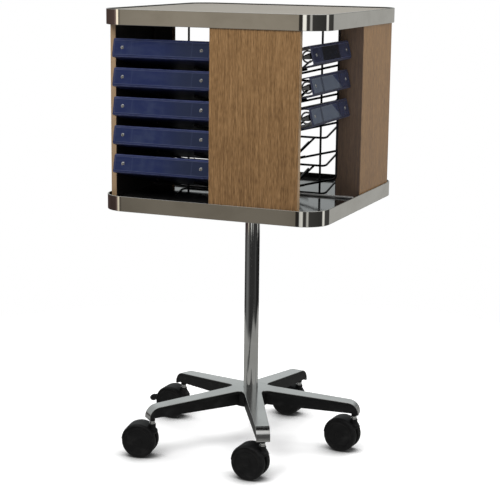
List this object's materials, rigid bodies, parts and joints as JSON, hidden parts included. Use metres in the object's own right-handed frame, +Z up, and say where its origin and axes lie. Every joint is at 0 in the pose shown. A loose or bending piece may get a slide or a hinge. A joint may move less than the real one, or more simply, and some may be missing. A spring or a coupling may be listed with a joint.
{
  "type": "medical chart rack",
  "caption": "Rotating chart carousel: wood-panelled square drum with polished bands and sloping wire shelves for ring binders, on a chrome column and a rolling arm base.",
  "frame": {"origin": "on the floor under the column's axis", "axes": "+Z up along the column, -Y out of the face whose five slots are all filled, +X to that face's right"},
  "size_m": [0.7039, 0.6492, 1.249],
  "materials": {
    "polished_band": "polished edge band",
    "top_laminate": "light laminate on a board",
    "floor_laminate": "glossy grey laminate on a board",
    "turntable_steel": "zinc plated",
    "oak_panel": "oak veneer, upright grain",
    "black_wire": "black coated wire",
    "binder_vinyl": "navy blue vinyl",
    "column_chrome": "chrome plated tube",
    "base_polish": "polished cap",
    "base_black": "black moulding",
    "caster_black": "black moulding",
    "wheel_black": "black tread and hub"
  },
  "bodies": {
    "base": {"column": "column_chrome", "column_head": "turntable_steel", "base_cap": "base_polish", "base_core": "base_black"},
    "carousel": {"top_band": "polished_band", "bottom_band": "polished_band", "top_board": "top_laminate", "bottom_board": "floor_laminate", "turntable_plate": "turntable_steel", "panel_front": "oak_panel", "rack_frame_front": "black_wire", "rack_ladder_front": "black_wire", "shelf_front_1": "black_wire", "shelf_front_2": "black_wire", "shelf_front_3": "black_wire", "shelf_front_4": "black_wire", "shelf_front_5": "black_wire", "panel_right": "oak_panel", "rack_frame_right": "black_wire", "rack_ladder_right": "black_wire", "shelf_right_1": "black_wire", "shelf_right_2": "black_wire", "shelf_right_3": "black_wire", "shelf_right_4": "black_wire", "shelf_right_5": "black_wire", "panel_rear": "oak_panel", "rack_frame_rear": "black_wire", "rack_ladder_rear": "black_wire", "shelf_rear_1": "black_wire", "shelf_rear_2": "black_wire", "shelf_rear_3": "black_wire", "shelf_rear_4": "black_wire", "shelf_rear_5": "black_wire", "panel_left": "oak_panel", "rack_frame_left": "black_wire", "rack_ladder_left": "black_wire", "shelf_left_1": "black_wire", "shelf_left_2": "black_wire", "shelf_left_3": "black_wire", "shelf_left_4": "black_wire", "shelf_left_5": "black_wire"},
    "caster_1": {"caster_housing_1": "caster_black"},
    "wheels_1": {"caster_wheels_1": "wheel_black"},
    "caster_2": {"caster_housing_2": "caster_black"},
    "wheels_2": {"caster_wheels_2": "wheel_black"},
    "caster_3": {"caster_housing_3": "caster_black"},
    "wheels_3": {"caster_wheels_3": "wheel_black"},
    "caster_4": {"caster_housing_4": "caster_black"},
    "wheels_4": {"caster_wheels_4": "wheel_black"},
    "caster_5": {"caster_housing_5": "caster_black"},
    "wheels_5": {"caster_wheels_5": "wheel_black"},
    "brake_pedal": {"brake_pedal": "caster_black"},
    "binder_front_1": {"binder_front_1": "binder_vinyl"},
    "binder_front_2": {"binder_front_2": "binder_vinyl"},
    "binder_front_3": {"binder_front_3": "binder_vinyl"},
    "binder_front_4": {"binder_front_4": "binder_vinyl"},
    "binder_front_5": {"binder_front_5": "binder_vinyl"},
    "binder_right_1": {"binder_right_1": "binder_vinyl"},
    "binder_right_2": {"binder_right_2": "binder_vinyl"},
    "binder_right_3": {"binder_right_3": "binder_vinyl"}
  },
  "joints": [
    {"name": "carousel_turn", "type": "hinge", "parent": "base", "child": "carousel", "pos_m": [0, 0, 0.7078], "axis": [0, 0, 1], "continuous": true},
    {"name": "caster_swivel_1", "type": "hinge", "parent": "base", "child": "caster_1", "pos_m": [0.14666, -0.26457, 0.1056], "axis": [0, 0, 1], "continuous": true},
    {"name": "wheel_roll_1", "type": "hinge", "parent": "caster_1", "child": "wheels_1", "pos_m": [0.11168, -0.26335, 0.048], "axis": [-0.0349, -0.9994, 0], "continuous": true},
    {"name": "caster_swivel_2", "type": "hinge", "parent": "base", "child": "caster_2", "pos_m": [0.29694, 0.05772, 0.1056], "axis": [0, 0, 1], "continuous": true},
    {"name": "wheel_roll_2", "type": "hinge", "parent": "caster_2", "child": "wheels_2", "pos_m": [0.26203, 0.06016, 0.048], "axis": [-0.0698, -0.9976, 0], "continuous": true},
    {"name": "caster_swivel_3", "type": "hinge", "parent": "base", "child": "caster_3", "pos_m": [0.03687, 0.30024, 0.1056], "axis": [0, 0, 1], "continuous": true},
    {"name": "wheel_roll_3", "type": "hinge", "parent": "caster_3", "child": "wheels_3", "pos_m": [0.00189, 0.30147, 0.048], "axis": [-0.0349, -0.9994, 0], "continuous": true},
    {"name": "caster_swivel_4", "type": "hinge", "parent": "base", "child": "caster_4", "pos_m": [-0.27416, 0.12784, 0.1056], "axis": [0, 0, 1], "continuous": true},
    {"name": "wheel_roll_4", "type": "hinge", "parent": "caster_4", "child": "wheels_4", "pos_m": [-0.30914, 0.12906, 0.048], "axis": [-0.0349, -0.9994, 0], "continuous": true},
    {"name": "caster_swivel_5", "type": "hinge", "parent": "base", "child": "caster_5", "pos_m": [-0.2063, -0.22123, 0.1056], "axis": [0, 0, 1], "continuous": true},
    {"name": "wheel_roll_5", "type": "hinge", "parent": "caster_5", "child": "wheels_5", "pos_m": [-0.24077, -0.22731, 0.048], "axis": [0.1736, -0.9848, 0], "continuous": true},
    {"name": "brake_press", "type": "hinge", "parent": "caster_4", "child": "brake_pedal", "pos_m": [-0.3641, 0.13098, 0.053], "axis": [-0.0349, -0.9994, 0], "range_deg": [0, 18], "stiffness_Nm_per_rad": 0.05},
    {"name": "binder_front_1_pull", "type": "slide", "parent": "carousel", "child": "binder_front_1", "axis": [0, -0.9703, 0.2419], "range_m": [0, 0.2]},
    {"name": "binder_front_2_pull", "type": "slide", "parent": "carousel", "child": "binder_front_2", "axis": [0, -0.9703, 0.2419], "range_m": [0, 0.2]},
    {"name": "binder_front_3_pull", "type": "slide", "parent": "carousel", "child": "binder_front_3", "axis": [0, -0.9703, 0.2419], "range_m": [0, 0.2]},
    {"name": "binder_front_4_pull", "type": "slide", "parent": "carousel", "child": "binder_front_4", "axis": [0, -0.9703, 0.2419], "range_m": [0, 0.2]},
    {"name": "binder_front_5_pull", "type": "slide", "parent": "carousel", "child": "binder_front_5", "axis": [0, -0.9703, 0.2419], "range_m": [0, 0.2]},
    {"name": "binder_right_1_pull", "type": "slide", "parent": "carousel", "child": "binder_right_1", "axis": [0.9703, 0, 0.2419], "range_m": [0, 0.2]},
    {"name": "binder_right_2_pull", "type": "slide", "parent": "carousel", "child": "binder_right_2", "axis": [0.9703, 0, 0.2419], "range_m": [0, 0.2]},
    {"name": "binder_right_3_pull", "type": "slide", "parent": "carousel", "child": "binder_right_3", "axis": [0.9703, 0, 0.2419], "range_m": [0, 0.2]}
  ]
}
